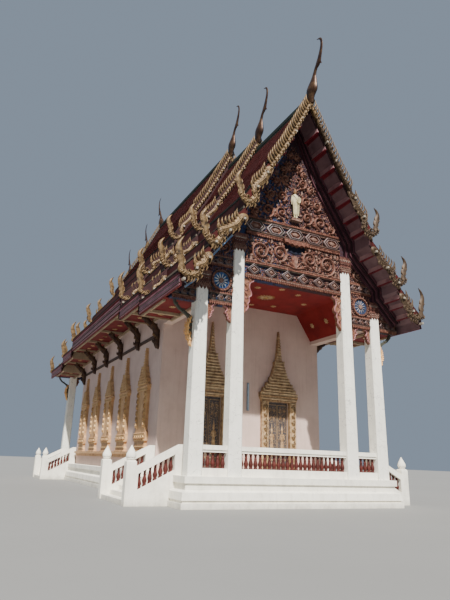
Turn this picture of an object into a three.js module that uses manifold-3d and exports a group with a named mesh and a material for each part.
// A Thai Buddhist ordination hall (ubosot): a raised terrace with side stairs, a walled hall with
// open porches at both ends, and a three-tiered, three-layered roof with carved gable boards.
// Millimetres. +Z is up, the front looks along -Y, and z = 0 is the ground that it stands on.

import * as THREE from 'three';
import { mergeVertices } from 'three/addons/utils/BufferGeometryUtils.js';
import Module from 'manifold-3d';

const wasm = await Module();
wasm.setup();

// Driving sizes
const GAP = 0.3; // between neighbouring pieces
const FLOOR = 980; // top of the terrace
const HALF_LENGTH = 11770; // centre to the front faces of the end columns

const COLUMN = {
  side: 530, topSide: 472, chamfer: 42, outerX: 4030, innerX: 2550, outerTop: 6585, innerTop: 8380,
  capital: 570, inset: 265,
};
const COLUMN_Y = HALF_LENGTH - COLUMN.inset;

const RAILING = { height: 1000, coping: 147, moulding: 80, curb: 260, thickness: 300, spacing: 190 };

const WALL = { outer: 4000, inner: 3600, face: 7670, inside: 7270, top: 7380 };
const DOOR = { x: 1715, half: 560, height: 3120 };
const WINDOW = { spacing: 2940, half: 400, sill: 1720, head: 3250 };

const STAIR = {
  near: HALF_LENGTH - 1005, far: HALF_LENGTH - 4130, steps: 6, tread: 316, slope: 0.517, start: 4210,
  postX: 5920, postWidth: 340, postDepth: 300, postTop: 430,
};

const PEDIMENT = {
  front: HALF_LENGTH - 80, back: HALF_LENGTH - 330, middleBottom: 7200, sideBottom: 5950, half: 5230,
};

// Roof surface in section, heights above the terrace: ridge, knee, and the ends of the three layers.
// Each tier is the lowest tier lifted by its own rises.
const ROOF = { knee: 1300, ends: [3000, 4350, 5450], starts: [2900, 4250], eaveIn: 5330 };
const TIERS = {
  low: { ridge: 15350, kneeZ: 12800, end: [9980, 8050, 6500], start: [9560, 7760], soffit: 5980 },
  middle: { ridge: 16000, kneeZ: 13430, end: [10600, 8600, 7000], start: [10150, 8290], soffit: 6460 },
  main: { ridge: 16950, kneeZ: 14260, end: [11330, 9230, 7580], start: [10860, 8930], soffit: 6840 },
};
const LOW_FRONT = HALF_LENGTH + 1180;
const MIDDLE_FRONT = HALF_LENGTH - 3130;
const MAIN_FRONT = HALF_LENGTH - 6150;
const BOARD = 120; // thickness of the gable boards

// Materials
function colour(hex, roughness, metalness = 0) {
  return new THREE.MeshStandardMaterial({ color: hex, roughness, metalness });
}

const MATERIALS = {
  whitePlaster: colour(0xe3e1d8, 0.85),
  creamPlaster: colour(0xe6d8c6, 0.9),
  roofTile: colour(0x4a1a18, 0.6),
  carvedGilt: colour(0xb99a63, 0.55, 0.2),
  carvedPanel: colour(0x8c5f50, 0.7),
  doorGilt: colour(0x8f7440, 0.5, 0.3),
  doorWood: colour(0x3a2a20, 0.55),
  windowGilt: colour(0xd99a55, 0.55, 0.1),
  redCeiling: colour(0x6b1f1c, 0.7),
  darkWood: colour(0x3d2c24, 0.7),
};

const hall = new THREE.Group();
hall.name = 'ordination_hall';

// Shapes

function outline(points) {
  return new THREE.Shape(points.map(([a, b]) => new THREE.Vector2(a, b)));
}

function solid(geometry) {
  const bare = geometry.clone();
  bare.deleteAttribute('normal');
  bare.deleteAttribute('uv');
  const welded = mergeVertices(bare, 1e-3);
  return new wasm.Manifold(new wasm.Mesh({
    numProp: 3,
    vertProperties: new Float32Array(welded.attributes.position.array),
    triVerts: new Uint32Array(welded.index.array),
  }));
}

function extrude(points, depth) {
  return new THREE.ExtrudeGeometry(outline(points), { depth, bevelEnabled: false, curveSegments: 8 });
}

// An outline in x and z, carried along y
function plateXZ(points, y0, y1) {
  return solid(extrude(points, y1 - y0).rotateX(Math.PI / 2).translate(0, y1, 0));
}

// An outline in y and z, carried along x
function plateYZ(points, x0, x1) {
  const turn = new THREE.Matrix4().set(0, 0, 1, 0, 1, 0, 0, 0, 0, 1, 0, 0, 0, 0, 0, 1);
  return solid(extrude(points, x1 - x0).applyMatrix4(turn).translate(x0, 0, 0));
}

function block(x0, x1, y0, y1, z0, z1) {
  const box = new THREE.BoxGeometry(x1 - x0, y1 - y0, z1 - z0);
  return solid(box.translate((x0 + x1) / 2, (y0 + y1) / 2, (z0 + z1) / 2));
}

// A closed skin over a stack of rings that all have the same number of points
function loft(rings) {
  const n = rings[0].length;
  const positions = rings.flat(2);
  const index = [];
  for (let k = 0; k < rings.length - 1; k++) {
    for (let i = 0; i < n; i++) {
      const a = k * n + i;
      const b = k * n + ((i + 1) % n);
      index.push(a, b, b + n, a, b + n, a + n);
    }
  }
  for (let i = 1; i < n - 1; i++) {
    index.push(0, i + 1, i);
    const top = (rings.length - 1) * n;
    index.push(top, top + i, top + i + 1);
  }
  const skin = new THREE.BufferGeometry();
  skin.setAttribute('position', new THREE.Float32BufferAttribute(positions, 3));
  skin.setIndex(index);
  return solid(skin);
}

// Square courses, each [height, half width, half length], laid one on the other
function courses(rings, cx = 0, cy = 0) {
  return loft(rings.map(([z, hx, hy]) => [
    [cx - hx, cy - hy, z], [cx + hx, cy - hy, z], [cx + hx, cy + hy, z], [cx - hx, cy + hy, z],
  ]));
}

function join(pieces) {
  return pieces.reduce((whole, piece) => whole.add(piece));
}

const mirrorX = (points) => points.map(([x, z]) => [-x, z]);

function add(name, shape, material) {
  const mesh = shape.getMesh();
  const geometry = new THREE.BufferGeometry();
  geometry.setAttribute('position', new THREE.Float32BufferAttribute(mesh.vertProperties, 3));
  geometry.setIndex(Array.from(mesh.triVerts));
  geometry.computeVertexNormals();
  const part = new THREE.Mesh(geometry, material);
  part.name = name;
  hall.add(part);
}

// The rear end is the front end turned about the middle of the hall.
const ENDS = [['front', 0], ['rear', 180]];
const turned = (shape, degrees) => (degrees ? shape.rotate([0, 0, degrees]) : shape);

// Terrace: a solid moulded plinth

function terrace(grow) {
  const g = grow;
  return courses([
    [-g, 4610 + g, 12090 + g], [180 + g, 4610 + g, 12090 + g],
    [180 + g, 4545 + g, 12025 + g], [260 - g, 4545 + g, 12025 + g],
    [260 - g, 4590 + g, 12070 + g], [500 + g, 4560 + g, 12040 + g],
    [560 + g, 4400 + g, 11880 + g], [770 - g, 4400 + g, 11880 + g],
    [770 - g, 4460 + g, 11940 + g], [FLOOR + g, 4460 + g, 11940 + g],
  ]);
}
add('terrace', terrace(0), MATERIALS.whitePlaster);

// Stairs at the four porch ends, each flight with its two sloping parapets and bud-topped posts

const copingTop = (x) => FLOOR + RAILING.height - STAIR.slope * Math.max(0, x - STAIR.start);

function stairPost(side, y) {
  const cx = side * STAIR.postX;
  const hx = STAIR.postWidth / 2;
  const hy = STAIR.postDepth / 2;
  const top = FLOOR + STAIR.postTop;
  const shaft = courses([[0, hx, hy], [top - 90, hx, hy], [top, hx - 45, hy - 35]], cx, y);
  const bud = [[top - 20, 85], [top + 60, 150], [top + 130, 165], [top + 190, 150], [top + 480, 8]];
  const rings = bud.map(([z, r]) => Array.from({ length: 8 }, (_, i) => {
    const a = (i + 0.5) * Math.PI / 4;
    return [cx + r * Math.cos(a), y + r * Math.sin(a), z];
  }));
  return shaft.add(loft(rings));
}

function parapet(side, y) {
  const inner = STAIR.start - 150;
  const outer = STAIR.postX - STAIR.postWidth / 2 + 20;
  const half = RAILING.thickness / 2;
  const line = (x, drop) => [side * x, copingTop(x) - drop];
  const shape = [[side * inner, 0], line(inner, 0), line(STAIR.start, 0), line(outer, 0), [side * outer, 0]];
  const wall = plateXZ(shape, y - half, y + half);
  const x0 = STAIR.start + 210;
  const x1 = outer - 90;
  const under = RAILING.coping + RAILING.moulding;
  const hole = plateXZ([line(x0, under), line(x1, under), line(x1, under + 510), line(x0, under + 510)],
    y - half - 10, y + half + 10);
  let panel = wall.subtract(hole);
  const count = Math.round((x1 - x0) / RAILING.spacing);
  for (let i = 0; i < count; i++) {
    const x = x0 + (i + 0.5) * (x1 - x0) / count;
    panel = panel.add(block(side * x - 24, side * x + 24, y - 24, y + 24,
      copingTop(x) - under - 560, copingTop(x) - under + 60));
  }
  return panel.add(stairPost(side, y));
}

function stair(side) {
  const riser = FLOOR / STAIR.steps;
  const profile = [[side * 4300, 0], [side * 4300, FLOOR - riser]];
  for (let k = 1; k < STAIR.steps; k++) {
    const x = 4460 + k * STAIR.tread;
    const next = k < STAIR.steps - 1 ? FLOOR - (k + 1) * riser : 0;
    profile.push([side * x, FLOOR - k * riser], [side * x, next]);
  }
  const flight = plateXZ(profile, -STAIR.near + 100, -STAIR.far - 100);
  const whole = join([flight, parapet(side, -STAIR.near), parapet(side, -STAIR.far)]);
  return whole.subtract(terrace(GAP));
}

for (const [end, turn] of ENDS) {
  add(`stair_${end}_left`, turned(stair(turn ? 1 : -1), turn), MATERIALS.whitePlaster);
  add(`stair_${end}_right`, turned(stair(turn ? -1 : 1), turn), MATERIALS.whitePlaster);
}

// Columns: chamfered, tapering shafts with flaring capitals

function columnRing(x, y, z, side, chamfer) {
  const h = side / 2;
  const c = h - chamfer;
  const corners = [[h, -c], [h, c], [c, h], [-c, h], [-h, c], [-h, -c], [-c, -h], [c, -h]];
  return corners.map(([dx, dy]) => [x + dx, y + dy, z]);
}

function column(x, top, grow = 0) {
  const g = grow;
  const y = -COLUMN_Y;
  const z = FLOOR + top;
  const ring = (height, side, chamfer) => columnRing(x, y, height, side + 2 * g, chamfer);
  return loft([
    ring(FLOOR + GAP - 3 * g, COLUMN.side, COLUMN.chamfer), ring(z, COLUMN.topSide, COLUMN.chamfer),
    ring(z + 60, 500, COLUMN.chamfer), ring(z + 60, 470, COLUMN.chamfer),
    ring(z + 240, 480, COLUMN.chamfer), ring(z + 330, 555, 30), ring(z + COLUMN.capital + g, 560, 30),
  ]);
}

// Carved brackets in section, out from the face that they stand on and up from the foot. Those of the
// columns have a slender stem, and those of the walls are fuller.
const BRACKETS = {
  column: [
    [-4, 0], [70, 20], [135, 150], [190, 330], [150, 620], [180, 820], [330, 950], [560, 1080],
    [760, 1290], [800, 1470], [715, 1470], [680, 1325], [520, 1160], [300, 1040], [110, 930], [-4, 790],
  ],
  wall: [
    [-4, 0], [70, 20], [135, 150], [190, 330], [150, 620], [180, 800], [330, 950], [560, 1080],
    [760, 1290], [800, 1470], [690, 1470], [620, 1330], [430, 1200], [180, 1080], [60, 900], [-4, 760],
  ],
};

function bracket(shape, side, face, foot, y) {
  return plateXZ(shape.map(([x, z]) => [side * (face + x), foot + z]), y - 55, y + 55);
}

for (const [end, turn] of ENDS) {
  const sides = [['left', turn ? 1 : -1], ['right', turn ? -1 : 1]];
  for (const [name, s] of sides) {
    const outer = column(s * COLUMN.outerX, COLUMN.outerTop);
    const arm = bracket(BRACKETS.column, s, COLUMN.outerX + 236, FLOOR + TIERS.low.soffit - 1471, -COLUMN_Y);
    add(`column_${end}_outer_${name}`, turned(outer.add(arm), turn), MATERIALS.whitePlaster);
    const inner = column(s * COLUMN.innerX, COLUMN.innerTop);
    add(`column_${end}_inner_${name}`, turned(inner, turn), MATERIALS.whitePlaster);
  }
}

// Railings between the columns

function railing(x0, x1) {
  const y = -COLUMN_Y;
  const base = FLOOR + GAP;
  const rail = FLOOR + RAILING.height - RAILING.coping;
  const row = (half, z0, z1) => block(x0, x1, y - half, y + half, z0, z1);
  const half = RAILING.thickness / 2;
  const pieces = [
    row(half, base, FLOOR + RAILING.curb),
    row(half - 25, rail - RAILING.moulding, rail),
    row(half + 10, rail, FLOOR + RAILING.height),
  ];
  const count = Math.round((x1 - x0) / RAILING.spacing);
  for (let i = 0; i < count; i++) {
    const x = x0 + (i + 0.5) * (x1 - x0) / count;
    pieces.push(block(x - 24, x + 24, y - 24, y + 24,
      FLOOR + RAILING.curb - 20, rail - RAILING.moulding + 20));
  }
  return join(pieces);
}

const railInner = COLUMN.innerX - COLUMN.side / 2 - GAP;
const bay = [COLUMN.innerX + COLUMN.side / 2 + GAP, COLUMN.outerX - COLUMN.side / 2 - GAP];
for (const [end, turn] of ENDS) {
  add(`railing_${end}_middle`, turned(railing(-railInner, railInner), turn), MATERIALS.whitePlaster);
  const left = turn ? [bay[0], bay[1]] : [-bay[1], -bay[0]];
  const right = turn ? [-bay[1], -bay[0]] : [bay[0], bay[1]];
  add(`railing_${end}_left`, turned(railing(...left), turn), MATERIALS.whitePlaster);
  add(`railing_${end}_right`, turned(railing(...right), turn), MATERIALS.whitePlaster);
}

// Walls. The long walls run on over the porches as beams to the outer columns.

const BASE = FLOOR + GAP;
const wallTop = FLOOR + WALL.top - GAP;
const headTop = FLOOR + DOOR.height;
const near = WALL.inner - GAP;

const jambs = [DOOR.x - DOOR.half, DOOR.x + DOOR.half];
const frontWall = (x0, x1, z0, z1) => block(x0, x1, -WALL.face, -WALL.inside, z0, z1);
add('front_wall_middle', frontWall(-jambs[0], jambs[0], BASE, headTop - GAP), MATERIALS.creamPlaster);
add('front_wall_left', frontWall(-near, -jambs[1], BASE, headTop - GAP), MATERIALS.creamPlaster);
add('front_wall_right', frontWall(jambs[1], near, BASE, headTop - GAP), MATERIALS.creamPlaster);
add('front_wall_over_doors', frontWall(-near, near, headTop, wallTop), MATERIALS.creamPlaster);

function rearWall() {
  let wall = block(-near, near, WALL.inside, WALL.face, BASE, wallTop);
  for (const x of [-DOOR.x, DOOR.x]) {
    wall = wall.subtract(block(x - DOOR.half, x + DOOR.half,
      WALL.inside - 10, WALL.face + 10, BASE - 10, headTop));
  }
  return wall;
}
add('rear_wall', rearWall(), MATERIALS.creamPlaster);

function sideWall(side) {
  const beamEnd = COLUMN_Y - 285;
  const beamFoot = FLOOR + 6020;
  const beamTop = FLOOR + 7900;
  const shoulder = FLOOR + 8400;
  const top = FLOOR + 9080;
  const half = [
    [WALL.face, BASE], [WALL.face, beamFoot], [beamEnd, beamFoot], [beamEnd, beamTop],
    [MIDDLE_FRONT - 150, beamTop], [MIDDLE_FRONT - 150, shoulder],
    [MAIN_FRONT - 150, shoulder], [MAIN_FRONT - 150, top],
  ];
  const whole = [...half, ...mirrorX(half).reverse()];
  const x = [side * WALL.inner, side * WALL.outer].sort((a, b) => a - b);
  let wall = plateYZ(whole, x[0], x[1]);
  for (let k = -2; k <= 2; k++) {
    const y = k * WINDOW.spacing;
    wall = wall.subtract(block(x[0] - 10, x[1] + 10, y - WINDOW.half, y + WINDOW.half,
      FLOOR + WINDOW.sill, FLOOR + WINDOW.head));
  }
  return wall;
}
add('side_wall_left', sideWall(-1), MATERIALS.creamPlaster);
add('side_wall_right', sideWall(1), MATERIALS.creamPlaster);

// Ceiling over the hall and both porches

function ceiling() {
  const z0 = FLOOR + WALL.top;
  const reach = PEDIMENT.back - GAP;
  let slab = block(-near, near, -reach, reach, z0, z0 + 100);
  for (const [, turn] of ENDS) {
    for (const s of [-1, 1]) {
      slab = slab.subtract(turned(column(s * COLUMN.innerX, COLUMN.innerTop, GAP), turn));
    }
  }
  return slab;
}
add('ceiling', ceiling(), MATERIALS.redCeiling);

// Over the porches the ceiling slopes down at both sides, to meet the beams.
const SLOPE = { top: 2830, drop: 1200, thickness: 90 };

function porchCeiling(side) {
  const z0 = FLOOR + WALL.top - GAP;
  const panel = [[SLOPE.top, z0], [near, z0 - SLOPE.drop], [near, z0 - SLOPE.drop + 2 * SLOPE.thickness],
    [SLOPE.top + SLOPE.thickness, z0]];
  return plateXZ(panel.map(([x, z]) => [side * x, z]), -PEDIMENT.back + GAP, -WALL.face - GAP);
}
for (const [end, turn] of ENDS) {
  add(`porch_ceiling_${end}_left`, turned(porchCeiling(turn ? 1 : -1), turn), MATERIALS.redCeiling);
  add(`porch_ceiling_${end}_right`, turned(porchCeiling(turn ? -1 : 1), turn), MATERIALS.redCeiling);
}

// Door surrounds with stepped spires, and the door leaves

// Half outline of a door's crown: half width and height above the terrace
const CROWN = [
  [900, 3120], [1000, 3330], [1000, 3500], [880, 3560], [840, 3720], [700, 3800], [680, 3950],
  [520, 4050], [500, 4200], [400, 4300], [360, 4450], [300, 4620], [240, 4800], [260, 4950],
  [150, 5020], [100, 5400], [50, 5900], [12, 6400],
];

function doorSurround(cx) {
  const right = [[DOOR.half, GAP], [900, GAP], ...CROWN];
  const points = [...right.map(([x, z]) => [cx + x, FLOOR + z]),
    ...right.slice().reverse().map(([x, z]) => [cx - x, FLOOR + z]),
    [cx - DOOR.half, headTop], [cx + DOOR.half, headTop]];
  return plateXZ(points, -WALL.face - 160, -WALL.face - GAP);
}

const LEAF = { thickness: 50, setback: 40, clearance: 8, floorGap: 12 };
const leafFront = -WALL.face + LEAF.setback;

// Each leaf turns on pins at its top and bottom, about the middle of its rounded heel.
function pivotRod(x, radius, z0, z1) {
  const rod = new THREE.CylinderGeometry(radius, radius, z1 - z0, 12);
  return solid(rod.rotateX(Math.PI / 2).translate(x, leafFront + LEAF.thickness / 2, (z0 + z1) / 2));
}

function leaf(cx, side) {
  const heel = LEAF.thickness / 2;
  const axis = side * (DOOR.half - LEAF.clearance - heel);
  const [x0, x1] = [axis, side * 4].sort((a, b) => a - b);
  const z0 = FLOOR + LEAF.floorGap;
  const z1 = headTop - LEAF.floorGap;
  return join([
    block(cx + x0, cx + x1, leafFront, leafFront + LEAF.thickness, z0, z1),
    pivotRod(cx + axis, heel, z0, z1),
    pivotRod(cx + axis, heel * 0.6, BASE, headTop - GAP),
  ]);
}

for (const [door, cx] of [['left', -DOOR.x], ['right', DOOR.x]]) {
  add(`front_door_surround_${door}`, doorSurround(cx), MATERIALS.doorGilt);
  add(`front_door_${door}_leaf_left`, leaf(cx, -1), MATERIALS.doorWood);
  add(`front_door_${door}_leaf_right`, leaf(cx, 1), MATERIALS.doorWood);
}
for (const [door, cx] of [['left', DOOR.x], ['right', -DOOR.x]]) {
  const clear = DOOR.half - GAP;
  const shut = block(cx - clear, cx + clear, -WALL.face - 60, -WALL.face + 90, BASE, headTop - GAP);
  const frame = doorSurround(cx).add(block(cx - DOOR.half - 40, cx + DOOR.half + 40, -WALL.face - 60,
    -WALL.face - GAP, BASE, headTop + 40));
  add(`rear_door_${door}`, turned(frame.add(shut), 180), MATERIALS.doorGilt);
}

// Windows: five shuttered surrounds on each long wall, standing on one moulded base band

const WINDOW_FRAME = [
  [730, 700], [730, 900], [650, 980], [650, 1120], [730, 1200], [730, 1560], [620, 1680],
  [620, 3300], [740, 3420], [740, 3560], [600, 3640], [560, 3820], [420, 3920], [400, 4060],
  [280, 4180], [250, 4360], [130, 4460], [60, 4800], [10, 5250],
];

function windows(side) {
  const x = (from, to) => [side * from, side * to].sort((a, b) => a - b);
  const [w0, w1] = x(WALL.outer + GAP, WALL.outer + 130);
  const [b0, b1] = x(WALL.outer + GAP, WALL.outer + 200);
  const [s0, s1] = x(WALL.outer - 120, WALL.outer + 60);
  const pieces = [
    block(b0, b1, -7300, 7300, FLOOR + 640, FLOOR + 760),
    block(...x(WALL.outer + GAP, WALL.outer + 110), -7300, 7300, FLOOR + 500, FLOOR + 660),
  ];
  for (let k = -2; k <= 2; k++) {
    const y = k * WINDOW.spacing;
    const frame = [...WINDOW_FRAME, ...mirrorX(WINDOW_FRAME).reverse()];
    pieces.push(plateYZ(frame.map(([w, z]) => [y + w, FLOOR + z]), w0, w1));
    const clear = WINDOW.half - GAP;
    pieces.push(block(s0, s1, y - clear, y + clear, FLOOR + WINDOW.sill + GAP, FLOOR + WINDOW.head - GAP));
  }
  return join(pieces);
}
add('side_windows_left', windows(-1), MATERIALS.windowGilt);
add('side_windows_right', windows(1), MATERIALS.windowGilt);

// Eave brackets along the long walls, on a narrow wall plate

function eaveBrackets(side) {
  const x = [side * (WALL.outer + GAP), side * (WALL.outer + 60)].sort((a, b) => a - b);
  const pieces = [block(x[0], x[1], -7260, 7260, FLOOR + 5560, FLOOR + 5700)];
  for (const k of [-1.5, -0.5, 0.5, 1.5]) {
    const foot = FLOOR + TIERS.main.soffit - 1471;
    pieces.push(bracket(BRACKETS.wall, side, WALL.outer + 5, foot, k * WINDOW.spacing));
  }
  for (const y of [-7200, 7200]) {
    const foot = FLOOR + TIERS.middle.soffit - 1471;
    pieces.push(bracket(BRACKETS.wall, side, WALL.outer + 5, foot, y));
  }
  return join(pieces);
}
add('eave_brackets_left', eaveBrackets(-1), MATERIALS.darkWood);
add('eave_brackets_right', eaveBrackets(1), MATERIALS.darkWood);

// Roof: each tier is one shell of three stepped layers

function surface(tier) {
  const [e1, e2, e3] = ROOF.ends;
  const [z1, z2, z3] = tier.end;
  const slope2 = (tier.start[0] - z2) / (e2 - ROOF.starts[0]);
  const slope3 = (tier.start[1] - z3) / (e3 - ROOF.starts[1]);
  return [
    [0, tier.ridge], [ROOF.knee, tier.kneeZ], [e1, z1],
    [e1, z2 + slope2 * (e2 - e1)], [e2, z2],
    [e2, z3 + slope3 * (e3 - e2)], [e3, z3],
  ];
}

function underside(tier) {
  const [s1, s2] = ROOF.starts;
  const top = surface(tier);
  const along = (a, b, x) => a[1] + (b[1] - a[1]) * (x - a[0]) / (b[0] - a[0]);
  return [
    [0, tier.ridge - 560], [ROOF.knee, tier.kneeZ - 480], [s1, along(top[1], top[2], s1) - 440],
    [s1, along(top[3], top[4], s1) - 320], [s2, along(top[3], top[4], s2) - 320],
    [s2, along(top[5], top[6], s2) - 300],
    [ROOF.eaveIn, along(top[5], top[6], ROOF.eaveIn) - 300],
  ];
}

const lift = (points, dz = 0) => points.map(([x, z]) => [x, FLOOR + z + dz]);

// The closed outline between an upper and a lower line, both given from the middle to the right
function archSection(upper, lower) {
  const [above, below] = [lift(upper), lift(lower)];
  return [...above, ...below.slice().reverse(), ...mirrorX(below).slice(1),
    ...mirrorX(above).reverse().slice(0, -1)];
}

function shell(tier, y0, y1) {
  const top = surface(tier);
  const edge = top[6][1];
  const eave = [[5450, edge - 90], [5400, edge - 100], [5400, tier.soffit], [ROOF.eaveIn, tier.soffit]];
  return plateXZ(archSection([...top, ...eave], underside(tier)), y0, y1);
}

// The level soffit between a long wall and its eave
function soffit(tier, y0, y1) {
  const z = FLOOR + tier.soffit;
  const sides = (s) => [s * (WALL.outer + GAP), s * 5380].sort((a, b) => a - b);
  const board = (s) => block(...sides(s), y0, y1, z, z + 70);
  return board(-1).add(board(1));
}

function lowRoof() {
  const y1 = -MIDDLE_FRONT - GAP;
  let roof = shell(TIERS.low, -LOW_FRONT, y1).add(soffit(TIERS.low, -PEDIMENT.back + GAP, y1));
  for (const s of [-1, 1]) {
    roof = roof.subtract(column(s * COLUMN.outerX, COLUMN.outerTop, GAP));
  }
  return roof;
}

function middleRoof() {
  const y0 = -MIDDLE_FRONT + BOARD + GAP;
  const y1 = -MAIN_FRONT - GAP;
  return shell(TIERS.middle, y0, y1).add(soffit(TIERS.middle, y0, y1));
}

for (const [end, turn] of ENDS) {
  add(`roof_${end}_low_tier`, turned(lowRoof(), turn), MATERIALS.roofTile);
  add(`roof_${end}_middle_tier`, turned(middleRoof(), turn), MATERIALS.roofTile);
}
const mainHalf = MAIN_FRONT - BOARD - GAP;
add('roof_main_tier', shell(TIERS.main, -mainHalf, mainHalf).add(soffit(TIERS.main, -mainHalf, mainHalf)),
  MATERIALS.roofTile);

// Pediments: carved plates between the end columns and the roof

function pediment() {
  const { front, back, middleBottom, sideBottom, half } = PEDIMENT;
  const under = lift(underside(TIERS.low), -GAP);
  under.pop();
  const [from, to] = underside(TIERS.low).slice(5);
  const fall = (from[1] - to[1]) / (to[0] - from[0]);
  const edge = FLOOR - GAP + to[1] + (ROOF.eaveIn - half) * fall;
  const right = [
    [COLUMN.innerX, FLOOR + middleBottom], [COLUMN.innerX, FLOOR + sideBottom],
    [half, FLOOR + sideBottom], [half, edge], ...under.reverse(),
  ];
  let plate = plateXZ([...right, ...mirrorX(right).reverse().slice(1)], -front, -back);
  for (const s of [-1, 1]) {
    plate = plate.subtract(column(s * COLUMN.innerX, COLUMN.innerTop, GAP));
    plate = plate.subtract(column(s * COLUMN.outerX, COLUMN.outerTop, GAP));
    const foot = FLOOR + TIERS.low.soffit - 1471;
    plate = plate.subtract(bracket(BRACKETS.column, s, COLUMN.outerX + 236, foot, -COLUMN_Y));
  }
  return plate;
}
for (const [end, turn] of ENDS) {
  add(`pediment_${end}`, turned(pediment(), turn), MATERIALS.carvedPanel);
}

// Gable boards: one carved plate per gable with its serpent heads, upturned tails and apex horn

// A serpent's body runs down each layer in one wave, as a share of the way down and a height over
// the roof surface, and ends in a raised tail, measured from the foot of the layer.
const WAVE_TOP = [[0, 200], [0.12, 110], [0.3, 240], [0.5, 250], [0.68, 90], [0.85, 40]];
const WAVE_FOOT = [[0.8, -440], [0.6, -280], [0.42, -240], [0.28, -450], [0.12, -500], [0, -330]];
const TAIL = [
  [-20, 150], [80, 280], [150, 500], [220, 750], [220, 980], [330, 850], [390, 660], [360, 450],
  [270, 200], [330, -30], [250, -280], [0, -410], [-320, -150],
];

function band(line, above, below) {
  const foot = line.map(([x, z]) => [x, z - below]);
  return [...line.map(([x, z]) => [x, z + above]), ...foot.reverse()];
}

function serpent(from, to, rise = 1) {
  const at = ([t, dz]) => [from[0] + t * (to[0] - from[0]), from[1] + t * (to[1] - from[1]) + dz];
  const tail = TAIL.map(([x, z]) => [to[0] + x, to[1] + (z > 0 ? rise * z : z)]);
  return [...WAVE_TOP.map(at), ...tail, ...WAVE_FOOT.map(at)];
}

// Half outlines in section for the carved boards of one tier
function boardOutlines(tier) {
  const top = surface(tier);
  const cut = 0.45;
  const [knee, end] = [top[1], top[2]];
  const hip = [knee[0] + cut * (end[0] - knee[0]), knee[1] + cut * (end[1] - knee[1])];
  return [
    band([[0, tier.ridge], top[1], [hip[0] + 60, hip[1] - 100]], 200, 330),
    serpent(hip, top[2]),
    serpent([top[3][0] - 250, top[3][1] + 260], top[4]),
    serpent([top[5][0] - 250, top[5][1] + 240], [top[6][0] - 270, top[6][1] + 50], 1.22),
  ];
}

// The horn at the apex, as rings along a line in y (forwards) and z, with its width each way
const HORN = [
  [60, -330, 150, 60], [80, 60, 260, 130], [170, 330, 340, 165], [280, 640, 205, 115],
  [340, 900, 120, 60], [480, 1180, 100, 50], [640, 1330, 175, 55], [760, 1600, 130, 45],
  [880, 1950, 95, 36], [920, 2250, 75, 30], [820, 2480, 55, 24], [600, 2600, 20, 12],
];

function horn(front, ridge) {
  const rings = HORN.map(([forward, up, deep, wide], k) => {
    const [pf, pu] = HORN[Math.max(0, k - 1)];
    const [nf, nu] = HORN[Math.min(HORN.length - 1, k + 1)];
    const length = Math.hypot(nf - pf, nu - pu);
    const across = [(nu - pu) / length, -(nf - pf) / length];
    return Array.from({ length: 8 }, (_, i) => {
      const a = i * Math.PI / 4;
      const d = deep * Math.cos(a);
      return [wide * Math.sin(a), -(front + forward + d * across[0]), FLOOR + ridge + up + d * across[1]];
    });
  });
  return loft(rings);
}

function gableBoard(tier, front, lower) {
  const y0 = -front - (lower ? 0 : BOARD);
  const y1 = y0 + BOARD - (lower ? 0 : GAP);
  const pieces = [];
  for (const half of boardOutlines(tier)) {
    pieces.push(plateXZ(lift(half), y0, y1), plateXZ(mirrorX(lift(half)), y0, y1));
  }
  if (lower) {
    const outer = surface(tier);
    const inner = underside(lower);
    const right = [...outer, [5400, outer[6][1]], [5400, lower.soffit], [ROOF.eaveIn, lower.soffit]];
    pieces.push(plateXZ(archSection(right, inner), y0, y1));
  }
  const roof = band(surface(tier).slice(0, 2), GAP, 900);
  const behind = [lift(roof), mirrorX(lift(roof))].map((half) => plateXZ(half, y1, y1 + 2000));
  pieces.push(horn(front + (lower ? -60 : 60), tier.ridge).subtract(join(behind)));
  return join(pieces);
}

for (const [end, turn] of ENDS) {
  const boards = {
    low: gableBoard(TIERS.low, LOW_FRONT, null),
    middle: gableBoard(TIERS.middle, MIDDLE_FRONT, TIERS.low),
    main: gableBoard(TIERS.main, MAIN_FRONT, TIERS.middle),
  };
  for (const [tier, board] of Object.entries(boards)) {
    add(`gable_board_${end}_${tier}`, turned(board, turn), MATERIALS.carvedGilt);
  }
}

export default hall;
